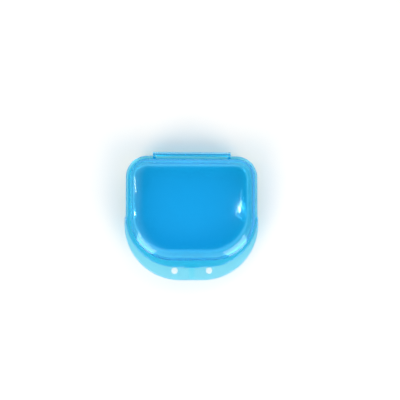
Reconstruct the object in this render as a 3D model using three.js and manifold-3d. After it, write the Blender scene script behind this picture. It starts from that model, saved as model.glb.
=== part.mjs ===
import * as THREE from 'three';
import { mergeVertices } from 'three/addons/utils/BufferGeometryUtils.js';
import Module from 'manifold-3d';

const wasm = await Module();
wasm.setup();

// Hinged denture case of clear blue plastic, closed.
// Millimetres, +Z up, hinge towards +Y, thumb lip towards -Y.
// The pieces are drawn about the middle of the lid's rim, on the table at z = 0.

// Rim of the lid, seen from above, with the thumb lip along its front
const rimWidth = 80;
const rimBack = 31.85;
const rimFront = 35.45;
const rimBackCorner = 13;
const rimFrontCorner = 30.3;

// How far the rim reaches past the outer wall line of both shells
const rimSideReach = 2.2;
const rimBackReach = 2.35;
const lipReach = 3.75;
const frontCornerStep = 4.3;

// Both shells
const wall = 1.2;
const wallDraft = 0.5;
const partingGap = 0.3;
const runningGap = 0.3;
const edgeBreak = 0.3;

// Base shell, whose front wall leans back towards the floor
const baseHeight = 13.3;
const baseEdgeRadius = 2.4;
const baseLeanShare = 0.36;
const baseRimThickness = 1.4;
const baseRimReach = 0.9;

// Ledge round the front half of the base, with its two vents
const ledgeThickness = 1.5;
const ledgeReach = 8.1;
const ledgeProud = 0.7;
const ledgeCornerRadius = 33.9;
const ledgeStart = 5.2;
const ventDiameter = 3.9;
const ventSpacing = 21;
const ventSetback = 5.8;

// Catch on the ledge, in front of the latch tab
const catchWidth = 3.3;
const catchHeight = 1.1;
const catchDepth = 0.9;
const catchRibHeight = 0.4;
const catchRibSetback = 0.9;

// Lid shell, with an elliptical shoulder that meets the wall at an edge and leans back along the front
const lidHeight = 13.2;
const lidRimThickness = 1.8;
const shoulderRun = 8.3;
const shoulderRise = 5.2;
const shoulderStart = THREE.MathUtils.degToRad(35);
const shoulderLeanShare = 1;
const crownSlope = THREE.MathUtils.degToRad(8);
const crownRunShare = 0.95;

// Latch tab on the lip
const tabWidth = 9.8;
const tabDepth = 3;
const tabHeight = 2.4;
const tabOverhang = 0.45;

// Hinge
const hingeWidth = 47.4;
const knuckleRadius = 1.3;
const knuckleReach = 2.45;
const earThickness = 1.6;
const earDrop = 3.4;
const pinRadius = 0.6;
const pinClearance = 0.1;
const pinSetback = 0.2;

// Fineness of the curves, and how far a cut runs past the face that it opens
const frontCornerSteps = 14;
const backCornerSteps = 8;
const edgeSteps = 5;
const crownSteps = 3;
const roundSteps = 28;
const overrun = 2;

const quarterTurn = Math.PI / 2;
const lidBottom = baseHeight + partingGap;
const lidTop = lidBottom + lidHeight;
const wallBack = rimBack - rimBackReach;
const wallBackCorner = rimBackCorner - rimBackReach;
const ledgeFront = -rimFront - ledgeReach;
const tabFront = -rimFront - tabOverhang;
const hingeY = rimBack + knuckleReach - knuckleRadius;
const hingeZ = baseHeight + partingGap / 2;
const barrelLength = hingeWidth - 2 * (earThickness + runningGap);

// The lid's shoulder ends at the angle at which the ellipse is as steep as the crown's edge
const shoulderEnd = Math.atan2(shoulderRise, shoulderRun * Math.tan(crownSlope));
const crownStart = wallDraft + shoulderRun * (Math.cos(shoulderStart) - Math.cos(shoulderEnd));
const crownRun = (wallBackCorner - crownStart) * crownRunShare;
const crownRise = (Math.tan(crownSlope) * crownRun) / 2;
const shoulderClimb = shoulderRise * (Math.sin(shoulderEnd) - Math.sin(shoulderStart));
const shoulderFoot = lidTop - crownRise - shoulderClimb;

const rimPlan = {
  halfWidth: rimWidth / 2,
  back: rimBack,
  front: -rimFront,
  backRadius: rimBackCorner,
  frontRadius: rimFrontCorner,
};
const ledgePlan = {
  ...rimPlan,
  halfWidth: rimWidth / 2 + ledgeProud,
  front: ledgeFront,
  frontRadius: ledgeCornerRadius,
};
const wallPlan = {
  halfWidth: rimWidth / 2 - rimSideReach,
  back: wallBack,
  front: lipReach - rimFront,
  backRadius: wallBackCorner,
  frontRadius: rimFrontCorner - frontCornerStep,
};
const baseWallPlan = { ...wallPlan, lean: (z) => baseLeanShare * Math.max(baseHeight - z, 0) };
const lidWallPlan = { ...wallPlan, lean: (z) => shoulderLeanShare * Math.max(z - shoulderFoot, 0) };

// One level outline of a plan, drawn in by an inset, anticlockwise from above
function ring(plan, inset, z) {
  const leant = plan.lean ? plan.lean(z) : 0;
  const frontX = plan.halfWidth - plan.frontRadius;
  const frontY = plan.front + leant + plan.frontRadius;
  const backX = plan.halfWidth - plan.backRadius;
  const backY = plan.back - plan.backRadius;
  const corners = [
    { x: frontX, y: frontY, radius: plan.frontRadius, start: -quarterTurn, steps: frontCornerSteps },
    { x: backX, y: backY, radius: plan.backRadius, start: 0, steps: backCornerSteps },
    { x: -backX, y: backY, radius: plan.backRadius, start: quarterTurn, steps: backCornerSteps },
    { x: -frontX, y: frontY, radius: plan.frontRadius, start: Math.PI, steps: frontCornerSteps },
  ];
  return corners.flatMap(({ x, y, radius, start, steps }) =>
    Array.from({ length: steps + 1 }, (_, step) => {
      const angle = start + (quarterTurn * step) / steps;
      const reach = radius - inset;
      return new THREE.Vector3(x + reach * Math.cos(angle), y + reach * Math.sin(angle), z);
    }),
  );
}

// Closed body through a plan's outlines, from a profile of [inset, height] pairs
function stack(plan, profile) {
  const rings = profile.map(([inset, z]) => ring(plan, inset, z));
  const count = rings[0].length;
  const points = rings.flat();
  const faces = [];
  for (let level = 0; level < rings.length - 1; level += 1) {
    for (let j = 0; j < count; j += 1) {
      const a = level * count + j;
      const b = level * count + ((j + 1) % count);
      faces.push(a, b, b + count, a, b + count, a + count);
    }
  }
  const middleY = (plan.back + plan.front) / 2;
  const bottomMiddle = points.push(new THREE.Vector3(0, middleY, rings[0][0].z)) - 1;
  const topMiddle = points.push(new THREE.Vector3(0, middleY, rings.at(-1)[0].z)) - 1;
  const topStart = (rings.length - 1) * count;
  for (let j = 0; j < count; j += 1) {
    const next = (j + 1) % count;
    faces.push(bottomMiddle, next, j, topMiddle, topStart + j, topStart + next);
  }
  const geometry = new THREE.BufferGeometry().setFromPoints(points);
  geometry.setIndex(faces);
  return toSolid(geometry);
}

function toSolid(geometry) {
  geometry.deleteAttribute('normal');
  geometry.deleteAttribute('uv');
  const merged = mergeVertices(geometry);
  const mesh = new wasm.Mesh({
    numProp: 3,
    vertProperties: new Float32Array(merged.attributes.position.array),
    triVerts: new Uint32Array(merged.index.array),
  });
  return new wasm.Manifold(mesh);
}

function toMesh(name, solid, material) {
  const { vertProperties, triVerts } = solid.getMesh();
  const geometry = new THREE.BufferGeometry();
  geometry.setAttribute('position', new THREE.BufferAttribute(vertProperties, 3));
  geometry.setIndex(new THREE.BufferAttribute(triVerts, 1));
  geometry.computeVertexNormals();
  const mesh = new THREE.Mesh(geometry, material);
  mesh.name = name;
  return mesh;
}

// Block between two limits on each axis
function block([x0, x1], [y0, y1], [z0, z1]) {
  const geometry = new THREE.BoxGeometry(x1 - x0, y1 - y0, z1 - z0);
  geometry.translate((x0 + x1) / 2, (y0 + y1) / 2, (z0 + z1) / 2);
  return toSolid(geometry);
}

// Round bar along the hinge line, centred at x
function hingeBar(radius, length, x) {
  const geometry = new THREE.CylinderGeometry(radius, radius, length, roundSteps);
  geometry.rotateZ(quarterTurn);
  geometry.translate(x, hingeY, hingeZ);
  return toSolid(geometry);
}

// Everything in front of a line across the case
function inFrontOf(y) {
  const reach = rimWidth / 2 + ledgeProud + overrun;
  return block([-reach, reach], [ledgeFront - overrun, y], [-overrun, lidTop + overrun]);
}

// Bottom bend and wall line of the base, for its outside or its inside
function baseProfile(radius) {
  const centreInset = wallDraft + baseEdgeRadius;
  const bend = Array.from({ length: edgeSteps + 1 }, (_, step) => {
    const angle = quarterTurn * (step / edgeSteps - 1);
    return [centreInset - radius * Math.cos(angle), baseEdgeRadius + radius * Math.sin(angle)];
  });
  return [...bend, [centreInset - radius - wallDraft, baseHeight - baseRimThickness]];
}

// Wall line, shoulder and crown of the lid, at a depth under its outside
function lidProfile(depth) {
  const shoulder = Array.from({ length: edgeSteps + 1 }, (_, step) => {
    const angle = THREE.MathUtils.lerp(shoulderStart, shoulderEnd, step / edgeSteps);
    const away = new THREE.Vector2(-shoulderRise * Math.cos(angle), shoulderRun * Math.sin(angle));
    const inset = wallDraft + shoulderRun * (Math.cos(shoulderStart) - Math.cos(angle));
    const height = shoulderFoot + shoulderRise * (Math.sin(angle) - Math.sin(shoulderStart));
    return new THREE.Vector2(inset, height).addScaledVector(away.normalize(), -depth);
  });
  const crown = Array.from({ length: crownSteps }, (_, step) => {
    const share = (step + 1) / crownSteps;
    const away = new THREE.Vector2(-Math.tan(crownSlope) * (1 - share), 1);
    const height = lidTop - crownRise * (1 - share) ** 2;
    return new THREE.Vector2(crownStart + crownRun * share, height)
      .addScaledVector(away.normalize(), -depth);
  });
  return [...shoulder, ...crown].map(({ x, y }) => [x, y]);
}

function makeBase() {
  const rimBottom = baseHeight - baseRimThickness;
  const outside = stack(baseWallPlan, [
    ...baseProfile(baseEdgeRadius),
    [-baseRimReach, rimBottom],
    [-baseRimReach, baseHeight - edgeBreak],
    [edgeBreak - baseRimReach, baseHeight],
  ]);
  const inside = stack(baseWallPlan, [
    ...baseProfile(baseEdgeRadius - wall),
    [wall, baseHeight + overrun],
  ]);
  return outside.add(makeLedge()).add(makeCatch()).add(makeEars()).subtract(inside).subtract(makeVents());
}

function makeLedge() {
  const bottom = baseHeight - ledgeThickness;
  const plate = stack(ledgePlan, [
    [edgeBreak, bottom],
    [0, bottom + edgeBreak],
    [0, baseHeight - edgeBreak],
    [edgeBreak, baseHeight],
  ]);
  return plate.intersect(inFrontOf(-ledgeStart));
}

function makeVents() {
  const radius = ventDiameter / 2;
  const length = ledgeThickness + 2 * overrun;
  const vents = [-1, 1].map((side) => {
    const geometry = new THREE.CylinderGeometry(radius, radius, length, roundSteps);
    geometry.rotateX(quarterTurn);
    geometry.translate((side * ventSpacing) / 2, ledgeFront + ventSetback, baseHeight - ledgeThickness / 2);
    return toSolid(geometry);
  });
  return vents[0].add(vents[1]);
}

// Nose that faces the latch tab, and the low rib that stiffens it
function makeCatch() {
  const sides = [-catchWidth / 2, catchWidth / 2];
  const noseBack = tabFront - runningGap;
  const foot = baseHeight - ledgeThickness / 2;
  const nose = block(sides, [noseBack - catchDepth, noseBack], [foot, baseHeight + catchHeight]);
  const rib = block(sides, [ledgeFront + catchRibSetback, noseBack], [foot, baseHeight + catchRibHeight]);
  return nose.add(rib);
}

// Two ears behind the base that hold the ends of the pin
function makeEars() {
  const bore = hingeBar(pinRadius + pinClearance, hingeWidth + 2 * overrun, 0);
  const rootY = wallBack - wall / 2;
  const ears = [-1, 1].map((side) => {
    const x = (side * (hingeWidth - earThickness)) / 2;
    const outline = new THREE.Shape([
      new THREE.Vector2(rootY, baseHeight - earDrop - knuckleRadius),
      new THREE.Vector2(hingeY + knuckleRadius, hingeZ - knuckleRadius / 2),
      new THREE.Vector2(hingeY + knuckleRadius, hingeZ),
      new THREE.Vector2(hingeY - knuckleRadius, hingeZ),
      new THREE.Vector2(hingeY - knuckleRadius, baseHeight),
      new THREE.Vector2(rootY, baseHeight),
    ]);
    const web = new THREE.ExtrudeGeometry(outline, { depth: earThickness, bevelEnabled: false });
    web.rotateX(quarterTurn);
    web.rotateZ(quarterTurn);
    web.translate(x - earThickness / 2, 0, 0);
    return toSolid(web).add(hingeBar(knuckleRadius, earThickness, x));
  });
  return ears[0].add(ears[1]).subtract(bore);
}

function makeLid() {
  const rimTop = lidBottom + lidRimThickness;
  const rim = stack(rimPlan, [
    [edgeBreak, lidBottom],
    [0, lidBottom + edgeBreak],
    [0, rimTop - edgeBreak],
    [edgeBreak, rimTop],
  ]);
  const outside = stack(lidWallPlan, [[0, lidBottom], [0, rimTop], ...lidProfile(0)]);
  const inside = stack(lidWallPlan, [[wall, lidBottom - overrun], [wall, rimTop], ...lidProfile(wall)]);
  return outside
    .add(rim)
    .add(makeTab())
    .subtract(makeEarNotches())
    .add(makeBarrel())
    .subtract(inside)
    .subtract(hingeBar(pinRadius + pinClearance, hingeWidth + 2 * overrun, 0));
}

// Latch tab that stands on the edge of the lip
function makeTab() {
  const depth = [tabFront, tabFront + tabDepth];
  return block([-tabWidth / 2, tabWidth / 2], depth, [lidBottom, lidBottom + tabHeight]);
}

// Room in the lid's rim for the ears, with the barrel's length left whole between them
function makeEarNotches() {
  const halfLength = hingeWidth / 2 + runningGap;
  const front = hingeY - knuckleRadius - runningGap;
  const notches = [-1, 1].map((side) => {
    const limits = [(side * barrelLength) / 2, side * halfLength].sort((a, b) => a - b);
    return block(limits, [front, rimBack + overrun], [lidBottom - overrun, lidTop]);
  });
  return notches[0].add(notches[1]);
}

// Long barrel on the lid, between the ears, with a flat web that joins it to the rim
function makeBarrel() {
  const sides = [-barrelLength / 2, barrelLength / 2];
  const web = block(sides, [wallBack, hingeY], [lidBottom, hingeZ + knuckleRadius]);
  return hingeBar(knuckleRadius, barrelLength, 0).add(web);
}

const clearBlue = { roughness: 0.08, metalness: 0, transparent: true };
const lidPlastic = new THREE.MeshStandardMaterial({ color: 0x18a0e8, opacity: 0.8, ...clearBlue });
const basePlastic = new THREE.MeshStandardMaterial({ color: 0x96e3fc, opacity: 0.7, ...clearBlue });
const pinPlastic = new THREE.MeshStandardMaterial({ color: 0x7ac6ec, opacity: 0.8, ...clearBlue });

const pin = hingeBar(pinRadius, hingeWidth - 2 * pinSetback, 0);

const dentureCase = new THREE.Group();
dentureCase.add(toMesh('base_shell', makeBase(), basePlastic));
dentureCase.add(toMesh('lid_shell', makeLid(), lidPlastic));
dentureCase.add(toMesh('hinge_pin', pin, pinPlastic));
dentureCase.position.y = -(rimBack + knuckleReach + ledgeFront) / 2;

export default dentureCase;
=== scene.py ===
"""Hinged denture case of clear blue plastic, closed, on a white table in soft studio light.

Sizes of the case are in millimetres about the middle of the lid's rim, which lies SHIFT behind the
origin. The lamps and the table are in metres.
"""

import logging
import math
from dataclasses import dataclass, field, replace
from enum import Enum
from typing import Any

import bmesh
import bpy
from mathutils import Matrix, Vector


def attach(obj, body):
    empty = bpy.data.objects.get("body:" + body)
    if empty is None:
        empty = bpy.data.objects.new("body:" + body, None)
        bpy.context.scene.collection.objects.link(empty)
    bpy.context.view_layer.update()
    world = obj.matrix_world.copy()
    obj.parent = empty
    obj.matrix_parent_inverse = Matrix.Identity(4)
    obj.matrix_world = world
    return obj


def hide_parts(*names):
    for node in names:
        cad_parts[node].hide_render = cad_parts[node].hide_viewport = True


logger = logging.getLogger("denture_case")

Spot = tuple[float, float, float]
Colour = tuple[float, float, float]
Pair = tuple[float, float]
# A point of a profile is its inset from the plan and its height. A corner has its rounding as
# well. A gathered point has its inset, the share by which it is drawn in, and its height.
ProfilePoint = tuple[float, float]
ProfileCorner = tuple[float, float, float]
GatheredPoint = tuple[float, float, float]

MM = 0.001
SHIFT = 4.625
IMAGE_PIXELS = 400

CORNERS = 4
QUARTER = math.pi / 2
NEARLY_STRAIGHT = math.radians(179)
SHARP_ANGLE = math.radians(32)
MERGE_REACH = 1e-7

SHELL_STEPS = 10
PLATE_STEPS = 6
SHOULDER_STEPS = 12
TOP_STEPS = 10
BAR_SIDES = 64
BAR_EDGE_STEPS = 3
BLOCK_EDGE_STEPS = 4
ROUND_EDGE = 0.5

TAB_OVERHANG = 0.45
PLATE_MARGIN = 2.0
CUT_PAST = 1.0
CUT_WELL_PAST = 2.0


class Join(Enum):
    """How one solid meets another."""

    ADD = "UNION"
    CUT = "DIFFERENCE"
    KEEP = "INTERSECT"


class Side(Enum):
    """Left and right of the case, seen from the front."""

    LEFT = -1
    RIGHT = 1


def hex_to_linear(code: str) -> tuple[float, float, float, float]:
    """Turn an sRGB hex colour into linear values.

    Args:
        code: six hex digits.

    Returns:
        Red, green, blue and an alpha of 1.
    """
    shares = (int(code[place : place + 2], 16) / 255 for place in (0, 2, 4))
    red, green, blue = (
        share / 12.92 if share <= 0.04045 else ((share + 0.055) / 1.055) ** 2.4 for share in shares
    )
    return red, green, blue, 1.0


def add_node(
    tree: bpy.types.NodeTree,
    kind: str,
    settings: dict[str, Any] | None = None,
    inputs: dict[str | int, Any] | None = None,
) -> bpy.types.Node:
    """Add a node with its settings and links.

    Args:
        tree: the tree that the node goes into.
        kind: the node's type name.
        settings: attributes to set on the node.
        inputs: for each input, by name or number, the socket that feeds it or its value.

    Returns:
        The new node.
    """
    node = tree.nodes.new(kind)
    for name, value in (settings or {}).items():
        setattr(node, name, value)
    for key, value in (inputs or {}).items():
        if isinstance(value, bpy.types.NodeSocket):
            tree.links.new(value, node.inputs[key])
        else:
            node.inputs[key].default_value = value
    return node


def new_tree(owner: bpy.types.Material | bpy.types.World) -> bpy.types.NodeTree:
    """Give a material or world an empty node tree.

    Args:
        owner: the material or world.

    Returns:
        Its tree.
    """
    owner.use_nodes = True
    owner.node_tree.nodes.clear()
    return owner.node_tree


def new_object(name: str, data: bpy.types.ID) -> bpy.types.Object:
    """Put new data in the scene.

    Args:
        name: the new object's name.
        data: its mesh, lamp or camera.

    Returns:
        The new object.
    """
    thing = bpy.data.objects.new(name, data)
    bpy.context.scene.collection.objects.link(thing)
    return thing


# Plans and profiles


@dataclass(frozen=True)
class Plan:
    """D-shaped outline seen from above."""

    half_width: float
    back: float
    front: float
    back_radius: float
    front_radius: float


RIM = Plan(half_width=40, back=31.85, front=-35.45, back_radius=13, front_radius=30.3)
WALL = Plan(half_width=37.8, back=29.5, front=-31.7, back_radius=10.65, front_radius=26)
LEDGE = replace(RIM, half_width=40.7, front=-43.55, front_radius=33.9)


def rounded_profile(corners: list[ProfileCorner], steps: int) -> list[ProfilePoint]:
    """Round the corners of a profile.

    Args:
        corners: the corners in order. The first and last are only ends and aren't rounded.
        steps: segments of each rounding.

    Returns:
        The profile's points.
    """
    points: list[ProfilePoint] = [corners[0][:2]]
    for before, corner, after in zip(corners, corners[1:], corners[2:]):
        spot, radius = Vector(corner[:2]), corner[2]
        to_before = (Vector(before[:2]) - spot).normalized()
        to_after = (Vector(after[:2]) - spot).normalized()
        opening = to_before.angle(to_after)
        if radius == 0 or opening > NEARLY_STRAIGHT:
            points.append((spot.x, spot.y))
            continue
        middle = spot + (to_before + to_after).normalized() * (radius / math.sin(opening / 2))
        reach = radius / math.tan(opening / 2)
        first = spot + to_before * reach - middle
        sweep = first.angle_signed(spot + to_after * reach - middle)
        for step in range(steps + 1):
            turned = Matrix.Rotation(-sweep * step / steps, 2) @ first + middle
            points.append((turned.x, turned.y))
    points.append(corners[-1][:2])
    return points


def gathered(points: list[ProfilePoint]) -> list[GatheredPoint]:
    """Lead both ends of a profile in to the middle of the plan, which closes its skin.

    Args:
        points: the profile's points.

    Returns:
        The same points, between two that are drawn in all the way.
    """
    (first_inset, first_height), (last_inset, last_height) = points[0], points[-1]
    return [
        (first_inset, 1.0, first_height),
        *((inset, 0.0, height) for inset, height in points),
        (last_inset, 1.0, last_height),
    ]


SKIN_SIZES = ("Half Width", "Back", "Front", "Back Radius", "Front Radius")
SKIN_LEAN = ("Front Lean", "Lean From")
SKIN_INPUTS = {
    "Profile": "NodeSocketGeometry",
    **dict.fromkeys((*SKIN_SIZES, *SKIN_LEAN), "NodeSocketFloat"),
    "Corner Points": "NodeSocketInt",
    "Plastic": "NodeSocketMaterial",
}

MIDDLE_CORNER = (CORNERS - 1) / 2
# Each row of the grid is one point of the profile, led round the outline. The corners are
# numbered from 0 at the front right, against the clock, and one more column closes the ring. A
# step has a name, an operation and its operands, each the name of an earlier value or a number.
SKIN_STEPS = (
    ("Ring", "MULTIPLY", "Corner Points", CORNERS),
    ("Closed Ring", "ADD", "Ring", 1),
    ("Turn", "MODULO", "Column", "Ring"),
    ("Share", "DIVIDE", "Turn", "Corner Points"),
    ("Corner", "FLOOR", "Share"),
    ("Corner Start", "MULTIPLY", "Corner", "Corner Points"),
    ("Step", "SUBTRACT", "Turn", "Corner Start"),
    ("Last Step", "SUBTRACT", "Corner Points", 1),
    ("Step Share", "DIVIDE", "Step", "Last Step"),
    ("Corner Turns", "SUBTRACT", "Corner", 1),
    ("Turns", "ADD", "Corner Turns", "Step Share"),
    ("Angle", "MULTIPLY", "Turns", QUARTER),
    ("From Middle", "SUBTRACT", "Corner", MIDDLE_CORNER),
    ("Off Middle", "ABSOLUTE", "From Middle"),
    ("At Back", "LESS_THAN", "Off Middle", 1),
    ("At Right", "LESS_THAN", "Corner", MIDDLE_CORNER),
    ("Two Right", "MULTIPLY", "At Right", 2),
    ("Side", "SUBTRACT", "Two Right", 1),
    ("Radius Step", "SUBTRACT", "Back Radius", "Front Radius"),
    ("Radius Part", "MULTIPLY", "Radius Step", "At Back"),
    ("Radius", "ADD", "Radius Part", "Front Radius"),
    ("Free Width", "SUBTRACT", "Half Width", "Radius"),
    ("Centre X", "MULTIPLY", "Free Width", "Side"),
    ("Above", "SUBTRACT", "Height", "Lean From"),
    ("Drawn Back", "MULTIPLY", "Above", "Front Lean"),
    ("Leant", "MAXIMUM", "Drawn Back", 0),
    ("Front Here", "ADD", "Front", "Leant"),
    ("Front Y", "ADD", "Front Here", "Front Radius"),
    ("Back Y", "SUBTRACT", "Back", "Back Radius"),
    ("Y Step", "SUBTRACT", "Back Y", "Front Y"),
    ("Y Part", "MULTIPLY", "Y Step", "At Back"),
    ("Centre Y", "ADD", "Y Part", "Front Y"),
    ("Reach", "SUBTRACT", "Radius", "Inset"),
    ("Cosine", "COSINE", "Angle"),
    ("Sine", "SINE", "Angle"),
    ("Reach X", "MULTIPLY", "Reach", "Cosine"),
    ("Reach Y", "MULTIPLY", "Reach", "Sine"),
    ("Ring X", "ADD", "Centre X", "Reach X"),
    ("Ring Y", "ADD", "Centre Y", "Reach Y"),
    ("Spread", "SUBTRACT", 1, "Gather"),
    ("Ends", "ADD", "Back", "Front"),
    ("Middle", "MULTIPLY", "Ends", 0.5),
    ("Off Middle Y", "SUBTRACT", "Ring Y", "Middle"),
    ("Drawn Y", "MULTIPLY", "Off Middle Y", "Spread"),
    ("X", "MULTIPLY", "Ring X", "Spread"),
    ("Y", "ADD", "Drawn Y", "Middle"),
)


@dataclass
class SkinTree:
    """Geometry Nodes tree that leads a profile round a D-shaped outline as one closed skin.

    The tree reads the profile from its own object: x is the inset, z the height, and y draws a
    point of the profile in to the middle of the plan, from 0 to 1.
    """

    corner_points: int = 29
    tree: bpy.types.NodeTree = field(init=False)
    sockets: dict[str, str] = field(init=False)

    def __post_init__(self) -> None:
        """Build the tree once."""
        self.tree = bpy.data.node_groups.new("skin_round_outline", "GeometryNodeTree")
        face = self.tree.interface
        for name, kind in SKIN_INPUTS.items():
            face.new_socket(name=name, in_out="INPUT", socket_type=kind)
        face.new_socket(name="Skin", in_out="OUTPUT", socket_type="NodeSocketGeometry")
        self.sockets = {
            item.name: item.identifier for item in face.items_tree if item.in_out == "INPUT"
        }
        self._lay_nodes()

    def _lay_nodes(self) -> None:
        """Lay a grid, one row to each profile point, round the outline."""
        tree = self.tree
        given = add_node(tree, "NodeGroupInput").outputs
        known = {name: given[name] for name in self.sockets if name != "Profile"}
        count = add_node(tree, "GeometryNodeAttributeDomainSize", inputs={0: given["Profile"]})
        rows = count.outputs["Point Count"]
        index = add_node(tree, "GeometryNodeInputIndex").outputs[0]
        ratio = add_node(tree, "ShaderNodeMath", {"operation": "DIVIDE"}, {0: index, 1: rows})
        column = add_node(tree, "ShaderNodeMath", {"operation": "FLOOR"}, {0: ratio.outputs[0]})
        known["Column"] = column.outputs[0]
        passed = add_node(
            tree, "ShaderNodeMath", {"operation": "MULTIPLY"}, {0: known["Column"], 1: rows}
        )
        row = add_node(
            tree, "ShaderNodeMath", {"operation": "SUBTRACT"}, {0: index, 1: passed.outputs[0]}
        )
        sample = add_node(
            tree,
            "GeometryNodeSampleIndex",
            {"data_type": "FLOAT_VECTOR", "domain": "POINT"},
            {
                "Geometry": given["Profile"],
                "Value": add_node(tree, "GeometryNodeInputPosition").outputs[0],
                "Index": row.outputs[0],
            },
        )
        point = add_node(tree, "ShaderNodeSeparateXYZ", inputs={0: sample.outputs["Value"]})
        known["Inset"], known["Gather"], known["Height"] = point.outputs
        for name, operation, *operands in SKIN_STEPS:
            feeds = {number: known.get(operand, operand) for number, operand in enumerate(operands)}
            node = add_node(
                tree, "ShaderNodeMath", {"operation": operation, "label": name}, feeds
            )
            known[name] = node.outputs[0]
        grid = add_node(
            tree,
            "GeometryNodeMeshGrid",
            inputs={"Vertices X": known["Closed Ring"], "Vertices Y": rows},
        )
        spot = add_node(
            tree, "ShaderNodeCombineXYZ", inputs={0: known["X"], 1: known["Y"], 2: known["Height"]}
        )
        laid = add_node(
            tree,
            "GeometryNodeSetPosition",
            inputs={"Geometry": grid.outputs["Mesh"], "Position": spot.outputs[0]},
        )
        closed = add_node(
            tree,
            "GeometryNodeMergeByDistance",
            inputs={"Geometry": laid.outputs[0], "Distance": MERGE_REACH},
        )
        real = add_node(tree, "GeometryNodeRealizeInstances", inputs={0: closed.outputs[0]})
        dressed = add_node(
            tree,
            "GeometryNodeSetMaterial",
            inputs={"Geometry": real.outputs[0], "Material": given["Plastic"]},
        )
        add_node(tree, "NodeGroupOutput", inputs={0: dressed.outputs[0]})

    def skin(
        self,
        name: str,
        plan: Plan,
        profile: list[GatheredPoint],
        lean: float = 0,
        lean_from: float = 0,
    ) -> bpy.types.Object:
        """Make one closed skin.

        Args:
            name: the new object's name.
            plan: the outline that the profile follows.
            profile: the gathered points of the profile.
            lean: how far the front draws back for each millimetre up, or down if it is negative.
            lean_from: the height past which the front leans.

        Returns:
            An object with a plain closed mesh, faces outwards.
        """
        mesh = bpy.data.meshes.new(name)
        spots = [(inset * MM, gather, height * MM) for inset, gather, height in profile]
        mesh.from_pydata(spots, [(k, k + 1) for k in range(len(spots) - 1)], [])
        piece = new_object(name, mesh)
        modifier = piece.modifiers.new("Skin", "NODES")
        modifier.node_group = self.tree
        sizes = {
            "Half Width": plan.half_width,
            "Back": plan.back + SHIFT,
            "Front": plan.front + SHIFT,
            "Back Radius": plan.back_radius,
            "Front Radius": plan.front_radius,
            "Lean From": lean_from,
        }
        for label, size in sizes.items():
            modifier[self.sockets[label]] = size * MM
        modifier[self.sockets["Front Lean"]] = float(lean)
        modifier[self.sockets["Corner Points"]] = self.corner_points
        settle(piece)
        turn_outwards(piece)
        return piece


# Solids


def settle(piece: bpy.types.Object) -> None:
    """Turn a piece's modifiers into plain mesh.

    Args:
        piece: the object, which keeps its name.
    """
    graph = bpy.context.evaluated_depsgraph_get()
    mesh = bpy.data.meshes.new_from_object(piece.evaluated_get(graph))
    piece.modifiers.clear()
    piece.data = mesh


def turn_outwards(piece: bpy.types.Object) -> None:
    """Turn a closed piece's faces outwards.

    Args:
        piece: the object whose mesh is closed.
    """
    shape = bmesh.new()
    shape.from_mesh(piece.data)
    bmesh.ops.recalc_face_normals(shape, faces=shape.faces)
    if shape.calc_volume(signed=True) < 0:
        bmesh.ops.reverse_faces(shape, faces=shape.faces)
    shape.to_mesh(piece.data)
    shape.free()


def joined(target: bpy.types.Object, tool: bpy.types.Object, how: Join) -> bpy.types.Object:
    """Add a tool solid to a target, cut it out or keep what both hold.

    Args:
        target: the object that is changed.
        tool: the object that is used up.
        how: the way that they meet.

    Returns:
        The target.
    """
    modifier = target.modifiers.new(how.name, "BOOLEAN")
    modifier.operation = how.value
    modifier.solver = "MANIFOLD"
    modifier.object = tool
    settle(target)
    bpy.data.objects.remove(tool)
    return target


def solid(name: str, shape: bmesh.types.BMesh) -> bpy.types.Object:
    """Turn a bmesh in millimetres about the rim into an object.

    Args:
        name: the new object's name.
        shape: the closed bmesh, which is freed.

    Returns:
        The new object, in metres in the case's frame.
    """
    to_frame = Matrix.Scale(MM, 4) @ Matrix.Translation((0, SHIFT, 0))
    bmesh.ops.transform(shape, matrix=to_frame, verts=shape.verts)
    bmesh.ops.recalc_face_normals(shape, faces=shape.faces)
    mesh = bpy.data.meshes.new(name)
    shape.to_mesh(mesh)
    shape.free()
    return new_object(name, mesh)


def round_edges(
    shape: bmesh.types.BMesh, edges: list[bmesh.types.BMEdge], radius: float, steps: int
) -> None:
    """Round some edges of a bmesh.

    Args:
        shape: the bmesh.
        edges: its edges that get rounded, if the radius isn't 0.
        radius: radius of the rounding.
        steps: segments of the rounding.
    """
    if radius:
        bmesh.ops.bevel(
            shape, geom=edges, offset=radius, segments=steps, profile=ROUND_EDGE, affect="EDGES"
        )


def block(name: str, low: Spot, high: Spot, rounding: float = 0) -> bpy.types.Object:
    """Make a block with rounded edges.

    Args:
        name: the new object's name.
        low: its lowest corner.
        high: its highest corner.
        rounding: radius of its edges.

    Returns:
        The block.
    """
    shape = bmesh.new()
    bmesh.ops.create_cube(shape, size=1)
    middle = (Vector(low) + Vector(high)) / 2
    size = Vector(high) - Vector(low)
    stretch = Matrix.Translation(middle) @ Matrix.Diagonal((*size, 1))
    bmesh.ops.transform(shape, matrix=stretch, verts=shape.verts)
    round_edges(shape, shape.edges[:], rounding, BLOCK_EDGE_STEPS)
    return solid(name, shape)


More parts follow.
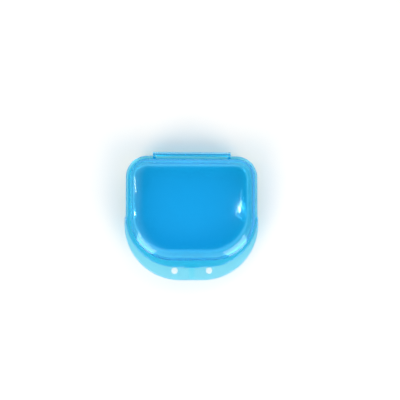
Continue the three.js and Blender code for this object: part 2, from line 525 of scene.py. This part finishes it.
def bar(name: str, radius: float, start: Spot, end: Spot, rounding: float = 0) -> bpy.types.Object:
    """Make a round bar between two spots, with rounded ends.

    Args:
        name: the new object's name.
        radius: the bar's radius.
        start: the middle of one end.
        end: the middle of the other end.
        rounding: radius of the edges of its ends.

    Returns:
        The bar.
    """
    along = Vector(end) - Vector(start)
    shape = bmesh.new()
    bmesh.ops.create_cone(
        shape,
        cap_ends=True,
        segments=BAR_SIDES,
        radius1=radius,
        radius2=radius,
        depth=along.length,
    )
    # Only the edges round the two ends have both corners at one end
    ends = [edge for edge in shape.edges if edge.verts[0].co.z * edge.verts[1].co.z > 0]
    round_edges(shape, ends, rounding, BAR_EDGE_STEPS)
    turn = Vector((0, 0, 1)).rotation_difference(along).to_matrix().to_4x4()
    middle = (Vector(start) + Vector(end)) / 2
    bmesh.ops.transform(shape, matrix=Matrix.Translation(middle) @ turn, verts=shape.verts)
    return solid(name, shape)


def edge_plate(
    skins: SkinTree, name: str, plan: Plan, bottom: float, top: float, rounding: float
) -> bpy.types.Object:
    """Make a flat plate with rounded edges, as wide as a plan.

    Args:
        skins: the tree that makes it.
        name: the new object's name.
        plan: its outline.
        bottom: height of its underside.
        top: height of its upper side.
        rounding: radius of its edges.

    Returns:
        The plate.
    """
    corners = [
        (PLATE_MARGIN, bottom, 0),
        (0, bottom, rounding),
        (0, top, rounding),
        (PLATE_MARGIN, top, 0),
    ]
    return skins.skin(name, plan, gathered(rounded_profile(corners, PLATE_STEPS)))


def inside_cutter(skins: SkinTree, inset: float, bottom: float, top: float) -> bpy.types.Object:
    """Make the cutter that keeps a plate clear of the space inside the walls.

    Args:
        skins: the tree that makes it.
        inset: how deep in the walls its sides stand.
        bottom: height of its underside.
        top: height of its upper side.

    Returns:
        The cutter.
    """
    return skins.skin("inside", WALL, gathered([(inset, bottom), (inset, top)]))


# Finishes


@dataclass(frozen=True)
class TintedPlastic:
    """Clear tinted polypropylene, injection moulded in a polished tool.

    The eye sees a glossy wall that tints what is behind it only a little. The tint grows with the
    way that light goes through the plastic, so walls seen edge-on are dark lines and stacked walls
    are deep blue. The tint of one wall is let_through, and surface_share is the part of it, for
    each colour, that the faces give and not the depth. The marks and ripple are about so many
    millimetres apart, and have so much detail.

    The last five fields stand in for light that the renderer loses or doesn't cast: the tints with
    which steep and level faces let lamps shine straight through, and the tint and the number of
    turns with which light caught in a wall comes out again.
    """

    name: str
    let_through: str = "a6ecff"
    surface_share: Colour = (0.1, 0.88, 0.9)
    clearest: float = 0.999
    wall: float = 1.2
    ior: float = 1.49
    roughness: float = 0.03
    rubbed: float = 2.5
    rubbed_range: Pair = (0.35, 0.75)
    marks: Pair = (2.5, 4.0)
    ripple: Pair = (9.0, 1.0)
    ripple_height: float = 0.15
    ripple_strength: float = 0.05
    steep_to_level: Pair = (0.2, 0.7)
    steep_shadow: Colour = (0.85, 0.79, 0.92)
    level_shadow: Colour = (0.94, 0.905, 1.0)
    caught_tint: Colour = (0.4, 0.95, 1.0)
    caught_turns: float = 2.5

    def surface_tint(self) -> tuple[float, float, float, float]:
        """Part of the tint that both faces of a wall give, however long the way through it."""
        colour = hex_to_linear(self.let_through)
        return (*(share**part for share, part in zip(colour, self.surface_share)), 1)

    def absorbed(self) -> Colour:
        """Absorption of each colour in one metre of plastic, for the rest of the tint."""
        colour = hex_to_linear(self.let_through)
        return tuple(
            -math.log(min(share, self.clearest)) * (1 - part) / (self.wall * MM)
            for share, part in zip(colour, self.surface_share)
        )

    def material(self) -> bpy.types.Material:
        """Build the material.

        Returns:
            The new material.
        """
        material = bpy.data.materials.new(self.name)
        tree = new_tree(material)
        coordinates = add_node(tree, "ShaderNodeTexCoord").outputs
        path = add_node(tree, "ShaderNodeLightPath").outputs
        # Light that has gone to and fro inside a wall comes out, as the plastic's haze lets it
        caught = add_node(
            tree,
            "ShaderNodeMath",
            {"operation": "GREATER_THAN"},
            {0: path["Glossy Depth"], 1: self.caught_turns},
        )
        way_out = add_node(
            tree, "ShaderNodeBsdfTransparent", inputs={"Color": (*self.caught_tint, 1)}
        )
        seen = add_node(
            tree,
            "ShaderNodeMixShader",
            inputs={
                0: caught.outputs[0],
                1: self._polished_skin(tree, coordinates["Object"]),
                2: way_out.outputs[0],
            },
        )
        # Lamps shine through the clear walls, so what lies under them isn't left in the dark
        from_table = add_node(
            tree,
            "ShaderNodeMath",
            {"operation": "MAXIMUM"},
            {0: path["Is Shadow Ray"], 1: path["Is Diffuse Ray"]},
        )
        surface = add_node(
            tree,
            "ShaderNodeMixShader",
            inputs={
                0: from_table.outputs[0],
                1: seen.outputs[0],
                2: self._open_way(tree, coordinates["Normal"]),
            },
        )
        add_node(
            tree,
            "ShaderNodeOutputMaterial",
            inputs={"Surface": surface.outputs[0], "Volume": self._depth_tint(tree)},
        )
        return material

    def _polished_skin(
        self, tree: bpy.types.NodeTree, position: bpy.types.NodeSocket
    ) -> bpy.types.NodeSocket:
        """Add the glossy skin, with the slow ripples of moulding and fine rubbing marks.

        Args:
            tree: the material's tree.
            position: the coordinates that the patterns follow.

        Returns:
            The shader.
        """
        ripple, marks = (
            add_node(
                tree,
                "ShaderNodeTexNoise",
                inputs={"Vector": position, "Scale": 1 / (size * MM), "Detail": detail},
            ).outputs["Fac"]
            for size, detail in (self.ripple, self.marks)
        )
        roughness = add_node(
            tree,
            "ShaderNodeMapRange",
            inputs={
                "Value": marks,
                "From Min": self.rubbed_range[0],
                "From Max": self.rubbed_range[1],
                "To Min": self.roughness,
                "To Max": self.roughness * self.rubbed,
            },
        )
        rippled = add_node(
            tree,
            "ShaderNodeBump",
            inputs={
                "Strength": self.ripple_strength,
                "Distance": self.ripple_height * MM,
                "Height": ripple,
            },
        )
        shader = add_node(
            tree,
            "ShaderNodeBsdfPrincipled",
            inputs={
                "Base Color": self.surface_tint(),
                "IOR": self.ior,
                "Transmission Weight": 1.0,
                "Roughness": roughness.outputs[0],
                "Normal": rippled.outputs[0],
            },
        )
        return shader.outputs[0]

    def _open_way(
        self, tree: bpy.types.NodeTree, normal: bpy.types.NodeSocket
    ) -> bpy.types.NodeSocket:
        """Add the tint with which a face lets lamps shine straight through.

        Args:
            tree: the material's tree.
            normal: the direction of the face.

        Returns:
            The shader.
        """
        upright = add_node(tree, "ShaderNodeSeparateXYZ", inputs={0: normal}).outputs["Z"]
        level = add_node(tree, "ShaderNodeMath", {"operation": "ABSOLUTE"}, {0: upright})
        eased = add_node(
            tree,
            "ShaderNodeMapRange",
            inputs={
                "Value": level.outputs[0],
                "From Min": self.steep_to_level[0],
                "From Max": self.steep_to_level[1],
            },
        )
        # Inputs 6 and 7 of the node are its two colours, and output 2 is the colour between them
        tint = add_node(
            tree,
            "ShaderNodeMix",
            {"data_type": "RGBA"},
            {0: eased.outputs[0], 6: (*self.steep_shadow, 1), 7: (*self.level_shadow, 1)},
        )
        return add_node(
            tree, "ShaderNodeBsdfTransparent", inputs={"Color": tint.outputs[2]}
        ).outputs[0]

    def _depth_tint(self, tree: bpy.types.NodeTree) -> bpy.types.NodeSocket:
        """Add the tint that grows with the way through the plastic.

        Args:
            tree: the material's tree.

        Returns:
            The volume shader.
        """
        taken = self.absorbed()
        most = max(taken)
        inside = add_node(
            tree,
            "ShaderNodeVolumeAbsorption",
            inputs={"Color": (*(1 - share / most for share in taken), 1), "Density": most},
        )
        return inside.outputs[0]


BASE_PLASTIC = TintedPlastic("clear_polypropylene_moulded_base", steep_shadow=(0.81, 0.66, 0.65))
LID_PLASTIC = TintedPlastic("clear_polypropylene_moulded_lid")
PIN_PLASTIC = TintedPlastic("clear_polypropylene_extruded_pin")


@dataclass(frozen=True)
class TableTop:
    """White melamine laminate, pressed smooth.

    The eye sees an even white that scatters light all round and shows the case's soft shadow.
    """

    name: str = "white_melamine_laminate"
    colour: str = "f9f5f1"
    roughness: float = 0.9

    def material(self) -> bpy.types.Material:
        """Build the material.

        Returns:
            The new material.
        """
        material = bpy.data.materials.new(self.name)
        tree = new_tree(material)
        shader = add_node(
            tree,
            "ShaderNodeBsdfPrincipled",
            inputs={
                "Base Color": hex_to_linear(self.colour),
                "Roughness": self.roughness,
                "Specular IOR Level": 0.0,
            },
        )
        add_node(tree, "ShaderNodeOutputMaterial", inputs={"Surface": shader.outputs[0]})
        return material


def dress(piece: bpy.types.Object, material: bpy.types.Material) -> None:
    """Give a piece its material and smooth faces.

    Args:
        piece: the object.
        material: its only material.
    """
    piece.data.materials.clear()
    piece.data.materials.append(material)
    for polygon in piece.data.polygons:
        polygon.use_smooth = True
        polygon.material_index = 0
    piece.data.set_sharp_from_angle(angle=SHARP_ANGLE)


# Sub-assemblies


@dataclass
class Hinge:
    """Hinge line at the back, with the pin that the ears of the base hold."""

    width: float = 47.4
    radius: float = 1.3
    y: float = 33.0
    z: float = 13.45
    ear: float = 1.6
    gap: float = 0.3
    pin_radius: float = 0.6
    pin_clearance: float = 0.1
    pin_setback: float = 0.2
    end_rounding: float = 0.2

    @property
    def barrel_half(self) -> float:
        """Half the length of the barrel between the ears."""
        return self.width / 2 - self.ear - self.gap

    def line(self, left: float, right: float) -> tuple[Spot, Spot]:
        """Two spots on the hinge line, so far across the case."""
        return (left, self.y, self.z), (right, self.y, self.z)

    def bore(self) -> bpy.types.Object:
        """Make the cutter for the bores, which goes past both ears.

        Returns:
            The cutter.
        """
        reach = self.width / 2 + CUT_WELL_PAST
        radius = self.pin_radius + self.pin_clearance
        return bar("bore", radius, *self.line(-reach, reach))

    def pin(self) -> bpy.types.Object:
        """Make the pin."""
        reach = self.width / 2 - self.pin_setback
        return bar("hinge_rod", self.pin_radius, *self.line(-reach, reach), self.end_rounding)


@dataclass
class Base:
    """Lower shell with the ledge round its front half, the catch and the hinge ears.

    The front half is kept by a block that leaves room aside, below and above the case.
    """

    skins: SkinTree
    hinge: Hinge
    height: float = 13.3
    wall: float = 1.2
    draft: float = 0.5
    lean: float = 0.36
    edge_radius: float = 2.4
    floor_margin: float = 1.5
    rim_reach: float = 0.9
    rim_thickness: float = 1.4
    rim_rounding: float = 0.3
    ledge_thickness: float = 1.5
    ledge_start: float = 5.2
    ledge_rounding: float = 0.74
    ledge_root: float = 0.8
    room: Spot = (60.0, 5.0, 40.0)
    vent_diameter: float = 3.9
    vent_spacing: float = 21.0
    vent_setback: float = 5.8
    vent_cut: float = 3.0
    catch_width: float = 3.3
    catch_height: float = 1.1
    catch_depth: float = 0.9
    catch_gap: float = 0.3
    catch_rounding: float = 0.4
    rib_height: float = 0.4
    rib_setback: float = 0.9
    rib_end: float = 0.1
    rib_rounding: float = 0.3
    ear_drop: float = 3.4

    def build(self) -> bpy.types.Object:
        """Make the whole shell.

        Returns:
            The shell.
        """
        shell = self._shell()
        joined(shell, self._ledge(), Join.ADD)
        for part in self._catch():
            joined(shell, part, Join.ADD)
        for side in Side:
            for part in self._ear(side):
                joined(shell, part, Join.ADD)
        joined(shell, self.hinge.bore(), Join.CUT)
        shell.name = "base_moulding"
        return shell

    def _shell(self) -> bpy.types.Object:
        """Make floor, walls and rim as one skin.

        Returns:
            The skin.
        """
        rim_bottom = self.height - self.rim_thickness
        floor_start = self.draft + self.edge_radius + self.floor_margin
        corners = [
            (floor_start, 0, 0),
            (self.draft, 0, self.edge_radius),
            (0, rim_bottom, self.rim_rounding),
            (-self.rim_reach, rim_bottom, self.rim_rounding),
            (-self.rim_reach, self.height, self.rim_rounding),
            (self.wall, self.height, self.rim_rounding),
            (self.draft + self.wall, self.wall, self.edge_radius - self.wall),
            (floor_start, self.wall, 0),
        ]
        profile = gathered(rounded_profile(corners, SHELL_STEPS))
        return self.skins.skin("base_skin", WALL, profile, -self.lean, self.height)

    def _ledge(self) -> bpy.types.Object:
        """Make the ledge round the front half, open inside the walls, with its vents.

        Returns:
            The ledge.
        """
        bottom, top = self.height - self.ledge_thickness, self.height
        root = self.wall * self.ledge_root
        ledge = edge_plate(self.skins, "ledge", LEDGE, bottom, top, self.ledge_rounding)
        inside = inside_cutter(self.skins, root, bottom - CUT_PAST, top + CUT_PAST)
        joined(ledge, inside, Join.CUT)
        aside, below, above = self.room
        front = block("front", (-aside, -aside, -below), (aside, -self.ledge_start, above))
        joined(ledge, front, Join.KEEP)
        for side in Side:
            joined(ledge, self._vent(side), Join.CUT)
        return ledge

    def _vent(self, side: Side) -> bpy.types.Object:
        """Make the cutter for one vent hole.

        Args:
            side: the side that the hole is on.

        Returns:
            The cutter.
        """
        x, y = side.value * self.vent_spacing / 2, LEDGE.front + self.vent_setback
        low, high = self.height - self.vent_cut, self.height + CUT_WELL_PAST
        return bar("vent", self.vent_diameter / 2, (x, y, low), (x, y, high))

    def _catch(self) -> list[bpy.types.Object]:
        """Make the nose that faces the latch tab, and its rib.

        Returns:
            The nose and the rib.
        """
        half = self.catch_width / 2
        back = RIM.front - TAB_OVERHANG - self.catch_gap
        foot = self.height - self.ledge_thickness / 2
        nose_low = (-half, back - self.catch_depth, foot)
        nose_high = (half, back, self.height + self.catch_height)
        rib_low = (-half, LEDGE.front + self.rib_setback, foot)
        rib_high = (half, back - self.rib_end, self.height + self.rib_height)
        return [
            block("nose", nose_low, nose_high, self.catch_rounding),
            block("rib", rib_low, rib_high, self.rib_rounding),
        ]

    def _ear(self, side: Side) -> list[bpy.types.Object]:
        """Make one hinge ear.

        Args:
            side: the side that the ear is on.

        Returns:
            The gusset on the back wall, and the eye.
        """
        hinge = self.hinge
        outer = side.value * hinge.width / 2
        inner = side.value * (hinge.width / 2 - hinge.ear)
        left, right = sorted((outer, inner))
        root = WALL.back - self.wall / 2
        outline = [
            (root, self.height - self.ear_drop - hinge.radius),
            (hinge.y + hinge.radius, hinge.z - hinge.radius / 2),
            (hinge.y + hinge.radius, hinge.z),
            (hinge.y - hinge.radius, hinge.z),
            (hinge.y - hinge.radius, self.height),
            (root, self.height),
        ]
        shape = bmesh.new()
        face = shape.faces.new([shape.verts.new((left, y, z)) for y, z in outline])
        pulled = bmesh.ops.extrude_face_region(shape, geom=[face])
        moved = [item for item in pulled["geom"] if isinstance(item, bmesh.types.BMVert)]
        bmesh.ops.translate(shape, verts=moved, vec=(right - left, 0, 0))
        gusset = solid("gusset", shape)
        eye = bar("eye", hinge.radius, *hinge.line(left, right), hinge.end_rounding)
        return [gusset, eye]


@dataclass(frozen=True)
class TopMiddle:
    """Nearly flat crown in the middle of the lid's top.

    It has the slope at its edge, the angle on the shoulder's ellipse at which it begins, the inset
    there, and its run in to where it is level.
    """

    slope: float
    angle: float
    inset: float
    run: float

    @property
    def rise(self) -> float:
        """How far it climbs from its edge to its middle."""
        return self.slope * self.run / 2


@dataclass
class Lid:
    """Domed upper shell with its rim, the thumb lip, the latch tab and the hinge barrel."""

    skins: SkinTree
    hinge: Hinge
    bottom: float = 13.6
    height: float = 13.2
    wall: float = 1.2
    draft: float = 0.5
    lean: float = 1.0
    shoulder_run: float = 8.3
    shoulder_rise: float = 5.2
    shoulder_start: float = 35.0
    shoulder_rounding: float = 0.6
    inner_rounding: float = 0.3
    crown_slope: float = 8.0
    crown_share: float = 0.95
    rim_thickness: float = 1.8
    rim_rounding: float = 0.75
    rim_root: float = 0.7
    rim_cut: float = 3.0
    tab_width: float = 9.8
    tab_depth: float = 3.0
    tab_height: float = 2.4
    tab_rounding: float = 0.5
    notch_height: float = 6.0
    barrel_rounding: float = 0.05

    def build(self) -> bpy.types.Object:
        """Make the whole shell.

        Returns:
            The shell.
        """
        shell = self._shell()
        joined(shell, self._rim(), Join.ADD)
        joined(shell, self._tab(), Join.ADD)
        for side in Side:
            joined(shell, self._notch(side), Join.CUT)
        for part in self._barrel():
            joined(shell, part, Join.ADD)
        joined(shell, self.hinge.bore(), Join.CUT)
        shell.name = "lid_moulding"
        return shell

    def _crown(self) -> TopMiddle:
        """Work out where the shoulder goes over to the crown.

        Returns:
            The crown's sizes.
        """
        slope = math.tan(math.radians(self.crown_slope))
        first = math.radians(self.shoulder_start)
        last = math.atan2(self.shoulder_rise, self.shoulder_run * slope)
        inset = self.draft + self.shoulder_run * (math.cos(first) - math.cos(last))
        return TopMiddle(slope, last, inset, (WALL.back_radius - inset) * self.crown_share)

    def _shoulder_foot(self) -> float:
        """Work out where the wall ends and the shoulder begins.

        Returns:
            The height of that edge.
        """
        crown = self._crown()
        climb = math.sin(crown.angle) - math.sin(math.radians(self.shoulder_start))
        return self.bottom + self.height - crown.rise - self.shoulder_rise * climb

    def _dome(self, depth: float) -> list[ProfilePoint]:
        """Lay out the elliptical shoulder and the crown, for the outside or the inside.

        Args:
            depth: how far inside the outer skin the points lie.

        Returns:
            The points, from the wall up to the middle of the crown.
        """
        run, rise, crown = self.shoulder_run, self.shoulder_rise, self._crown()
        first = math.radians(self.shoulder_start)
        start = self.draft + run * math.cos(first)
        foot = self._shoulder_foot() - rise * math.sin(first)
        skin = []
        for step in range(SHOULDER_STEPS + 1):
            angle = first + (crown.angle - first) * step / SHOULDER_STEPS
            away = Vector((-rise * math.cos(angle), run * math.sin(angle))).normalized()
            skin.append((start - run * math.cos(angle), foot + rise * math.sin(angle), away))
        for step in range(1, TOP_STEPS + 1):
            share = step / TOP_STEPS
            away = Vector((-crown.slope * (1 - share), 1)).normalized()
            height = foot + rise * math.sin(crown.angle) + crown.rise * (1 - (1 - share) ** 2)
            skin.append((crown.inset + crown.run * share, height, away))
        return [(inset - depth * away.x, height - depth * away.y) for inset, height, away in skin]

    def _shell(self) -> bpy.types.Object:
        """Make walls, shoulder and crown as one skin.

        Returns:
            The skin.
        """
        outside = self._dome(0)
        inside = self._dome(self.wall)
        corners = [
            *((*point, 0.0) for point in reversed(inside[1:])),
            (*inside[0], self.inner_rounding),
            (self.wall, self.bottom, 0.0),
            (0.0, self.bottom, 0.0),
            (*outside[0], self.shoulder_rounding),
            *((*point, 0.0) for point in outside[1:]),
        ]
        profile = gathered(rounded_profile(corners, PLATE_STEPS))
        return self.skins.skin("lid_skin", WALL, profile, self.lean, self._shoulder_foot())

    def _rim(self) -> bpy.types.Object:
        """Make the rim, which is wider along the front as a thumb lip.

        Returns:
            The rim.
        """
        low, high = self.bottom, self.bottom + self.rim_thickness
        root = self.wall * self.rim_root
        rim = edge_plate(self.skins, "rim", RIM, low, high, self.rim_rounding)
        inside = inside_cutter(self.skins, root, low - CUT_PAST, low + self.rim_cut)
        return joined(rim, inside, Join.CUT)

    def _tab(self) -> bpy.types.Object:
        """Make the latch tab on the lip's edge.

        Returns:
            The tab.
        """
        half = self.tab_width / 2
        front = RIM.front - TAB_OVERHANG
        low = (-half, front, self.bottom)
        high = (half, front + self.tab_depth, self.bottom + self.tab_height)
        return block("tab", low, high, self.tab_rounding)

    def _notch(self, side: Side) -> bpy.types.Object:
        """Make the cutter for the room that one ear needs.

        Args:
            side: the side that the ear is on.

        Returns:
            The cutter.
        """
        hinge = self.hinge
        near, far = side.value * hinge.barrel_half, side.value * (hinge.width / 2 + hinge.gap)
        left, right = sorted((near, far))
        low = (left, hinge.y - hinge.radius - hinge.gap, self.bottom - CUT_WELL_PAST)
        high = (right, RIM.back + CUT_WELL_PAST, self.bottom + self.notch_height)
        return block("notch", low, high)

    def _barrel(self) -> list[bpy.types.Object]:
        """Make the barrel between the ears.

        Returns:
            The barrel, and the flat web that joins it to the rim.
        """
        hinge = self.hinge
        half = hinge.barrel_half
        low = (-half, WALL.back, self.bottom)
        high = (half, hinge.y, hinge.z + hinge.radius)
        return [
            bar("barrel", hinge.radius, *hinge.line(-half, half), self.barrel_rounding),
            block("barrel_top", low, high),
        ]


# Studio


@dataclass(frozen=True)
class Softbox:
    """Rectangular area lamp that points at the case."""

    name: str
    azimuth: float
    elevation: float
    distance: float
    width: float
    height: float
    power: float

    def place(self) -> None:
        """Make the lamp."""
        lamp = bpy.data.lights.new(self.name, "AREA")
        lamp.shape = "RECTANGLE"
        lamp.size, lamp.size_y = self.width, self.height
        lamp.energy = self.power
        holder = new_object(self.name, lamp)
        azimuth, elevation = math.radians(self.azimuth), math.radians(self.elevation)
        away = Vector(
            (
                math.cos(elevation) * math.cos(azimuth),
                math.cos(elevation) * math.sin(azimuth),
                math.sin(elevation),
            )
        )
        holder.location = away * self.distance
        holder.rotation_euler = away.to_track_quat("Z", "Y").to_euler()


WINDOW = Softbox(
    "window_front_left",
    azimuth=226,
    elevation=36.5,
    distance=1.6,
    width=0.72,
    height=1.25,
    power=12.2,
)
LAMP = Softbox(
    "lamp_right", azimuth=12, elevation=79, distance=0.9, width=0.009, height=0.058, power=0.08
)
SLIT = Softbox(
    "slit_left", azimuth=178.6, elevation=52, distance=0.9, width=0.008, height=0.22, power=0.2
)


@dataclass
class Studio:
    """Table, lamps, world and camera.

    The world is dark round a direction dark_tilt off the upright, over the angles of dark_edge,
    and gets brighter towards bright_azimuth, from the first to the second side_light. Angles are
    in degrees, table_half and clip in metres, and the camera's distance and aim in millimetres.
    """

    softboxes: tuple[Softbox, ...] = (
        WINDOW,
        replace(WINDOW, name="window_front_right", azimuth=315),
        LAMP,
        replace(SLIT, name="slit_left_back", azimuth=172.0, width=0.004),
        SLIT,
    )
    table_half: float = 1.4
    table_cells: int = 8
    table_gap: float = 0.02
    world_strength: float = 0.7
    dark_tilt: float = 18.0
    dark_edge: Pair = (38.0, 22.0)
    bright_azimuth: float = 46.0
    side_range: Pair = (-0.2, 0.9)
    side_light: Pair = (0.95, 2.1)
    tilt_right: float = 4.0
    tilt_back: float = 2.5
    distance: float = 450.0
    pixels_per_mm: float = 1.646
    aim_pixel: Pair = (192.0, 208.4)
    aim_height: float = 14.8
    sensor: float = 36.0
    clip: Pair = (0.01, 20.0)

    def build(self) -> None:
        """Make everything round the case."""
        self._table()
        for softbox in self.softboxes:
            softbox.place()
        self._world()
        self._camera()

    def _table(self) -> None:
        """Lay the table top just under the case."""
        shape = bmesh.new()
        cells = self.table_cells
        bmesh.ops.create_grid(shape, x_segments=cells, y_segments=cells, size=self.table_half)
        bmesh.ops.translate(shape, verts=shape.verts, vec=(0, 0, -self.table_gap * MM))
        mesh = bpy.data.meshes.new("table_top")
        shape.to_mesh(mesh)
        shape.free()
        mesh.materials.append(TableTop().material())
        table = new_object("table_top", mesh)

    def _world(self) -> None:
        """Light the room softly from all round, and show it white to the camera."""
        world = bpy.data.worlds.new("studio")
        bpy.context.scene.world = world
        tree = new_tree(world)
        path = add_node(tree, "ShaderNodeLightPath")
        room = add_node(
            tree,
            "ShaderNodeBackground",
            inputs={"Color": (1, 1, 1, 1), "Strength": self._room_light(tree)},
        )
        white = add_node(
            tree, "ShaderNodeBackground", inputs={"Color": (1, 1, 1, 1), "Strength": 1.0}
        )
        mixed = add_node(
            tree,
            "ShaderNodeMixShader",
            inputs={0: path.outputs["Is Camera Ray"], 1: room.outputs[0], 2: white.outputs[0]},
        )
        add_node(tree, "ShaderNodeOutputWorld", inputs={"Surface": mixed.outputs[0]})

    def _room_light(self, tree: bpy.types.NodeTree) -> bpy.types.NodeSocket:
        """Add the light from each direction, which is dark overhead and brighter at one side.

        Args:
            tree: the world's tree.

        Returns:
            The strength of the light.
        """
        direction = add_node(tree, "ShaderNodeTexCoord").outputs["Generated"]
        tilt, azimuth = math.radians(self.dark_tilt), math.radians(self.bright_azimuth)
        to_dark = add_node(
            tree,
            "ShaderNodeVectorMath",
            {"operation": "DOT_PRODUCT"},
            {0: direction, 1: (math.sin(tilt), 0, math.cos(tilt))},
        )
        overhead = add_node(
            tree,
            "ShaderNodeMapRange",
            {"interpolation_type": "SMOOTHSTEP"},
            {
                "Value": to_dark.outputs["Value"],
                "From Min": math.cos(math.radians(self.dark_edge[0])),
                "From Max": math.cos(math.radians(self.dark_edge[1])),
                "To Min": self.world_strength,
                "To Max": 0.0,
            },
        )
        to_bright = add_node(
            tree,
            "ShaderNodeVectorMath",
            {"operation": "DOT_PRODUCT"},
            {0: direction, 1: (math.cos(azimuth), math.sin(azimuth), 0)},
        )
        brighter = add_node(
            tree,
            "ShaderNodeMapRange",
            inputs={
                "Value": to_bright.outputs["Value"],
                "From Min": self.side_range[0],
                "From Max": self.side_range[1],
                "To Min": self.side_light[0],
                "To Max": self.side_light[1],
            },
        )
        strength = add_node(
            tree,
            "ShaderNodeMath",
            {"operation": "MULTIPLY"},
            {0: overhead.outputs[0], 1: brighter.outputs[0]},
        )
        return strength.outputs[0]

    def _camera(self) -> None:
        """Look down on the case almost straight from above, with its back up in the picture."""
        lens = bpy.data.cameras.new("photograph_view")
        lens.sensor_width = self.sensor
        lens.lens = self.sensor * self.distance / (IMAGE_PIXELS / self.pixels_per_mm)
        lens.clip_start, lens.clip_end = self.clip
        camera = new_object("photograph_view", lens)
        half = IMAGE_PIXELS / 2
        aim = Vector(
            (
                (half - self.aim_pixel[0]) / self.pixels_per_mm,
                SHIFT + (self.aim_pixel[1] - half) / self.pixels_per_mm,
                self.aim_height,
            )
        )
        tilt_right, tilt_back = math.radians(self.tilt_right), math.radians(self.tilt_back)
        look = Vector((math.tan(tilt_right), math.tan(tilt_back), -1)).normalized()
        right = look.cross(Vector((0, 1, 0))).normalized()
        up = right.cross(look)
        turn = Matrix((right, up, -look)).transposed().to_4x4()
        camera.matrix_world = Matrix.Translation((aim - look * self.distance) * MM) @ turn
        bpy.context.scene.camera = camera


def hang(piece: bpy.types.Object, node: str, body: str) -> None:
    """Hang a finished piece on its body in the place of its CAD node.

    Args:
        piece: the finished object.
        node: the CAD node that it stands for.
        body: the body that it moves with.
    """
    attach(piece, body)
    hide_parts(node)
    logger.info("%s: %d faces", piece.name, len(piece.data.polygons))


def main() -> None:
    """Build the case and the studio round it."""
    logging.basicConfig(level=logging.INFO)
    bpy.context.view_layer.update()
    skins = SkinTree()
    hinge = Hinge()

    base = Base(skins, hinge).build()
    dress(base, BASE_PLASTIC.material())
    hang(base, "base_shell", "base")

    lid = Lid(skins, hinge).build()
    dress(lid, LID_PLASTIC.material())
    hang(lid, "lid_shell", "lid")

    pin = hinge.pin()
    dress(pin, PIN_PLASTIC.material())
    hang(pin, "hinge_pin", "base")

    Studio().build()
    bpy.context.scene.view_settings.view_transform = "Standard"


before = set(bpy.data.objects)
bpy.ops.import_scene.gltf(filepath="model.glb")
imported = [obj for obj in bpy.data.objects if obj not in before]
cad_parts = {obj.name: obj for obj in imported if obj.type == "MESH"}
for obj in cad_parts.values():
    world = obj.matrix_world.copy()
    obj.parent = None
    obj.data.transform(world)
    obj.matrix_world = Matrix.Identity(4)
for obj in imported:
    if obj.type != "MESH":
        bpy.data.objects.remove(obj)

if __name__ == "__main__":
    main()
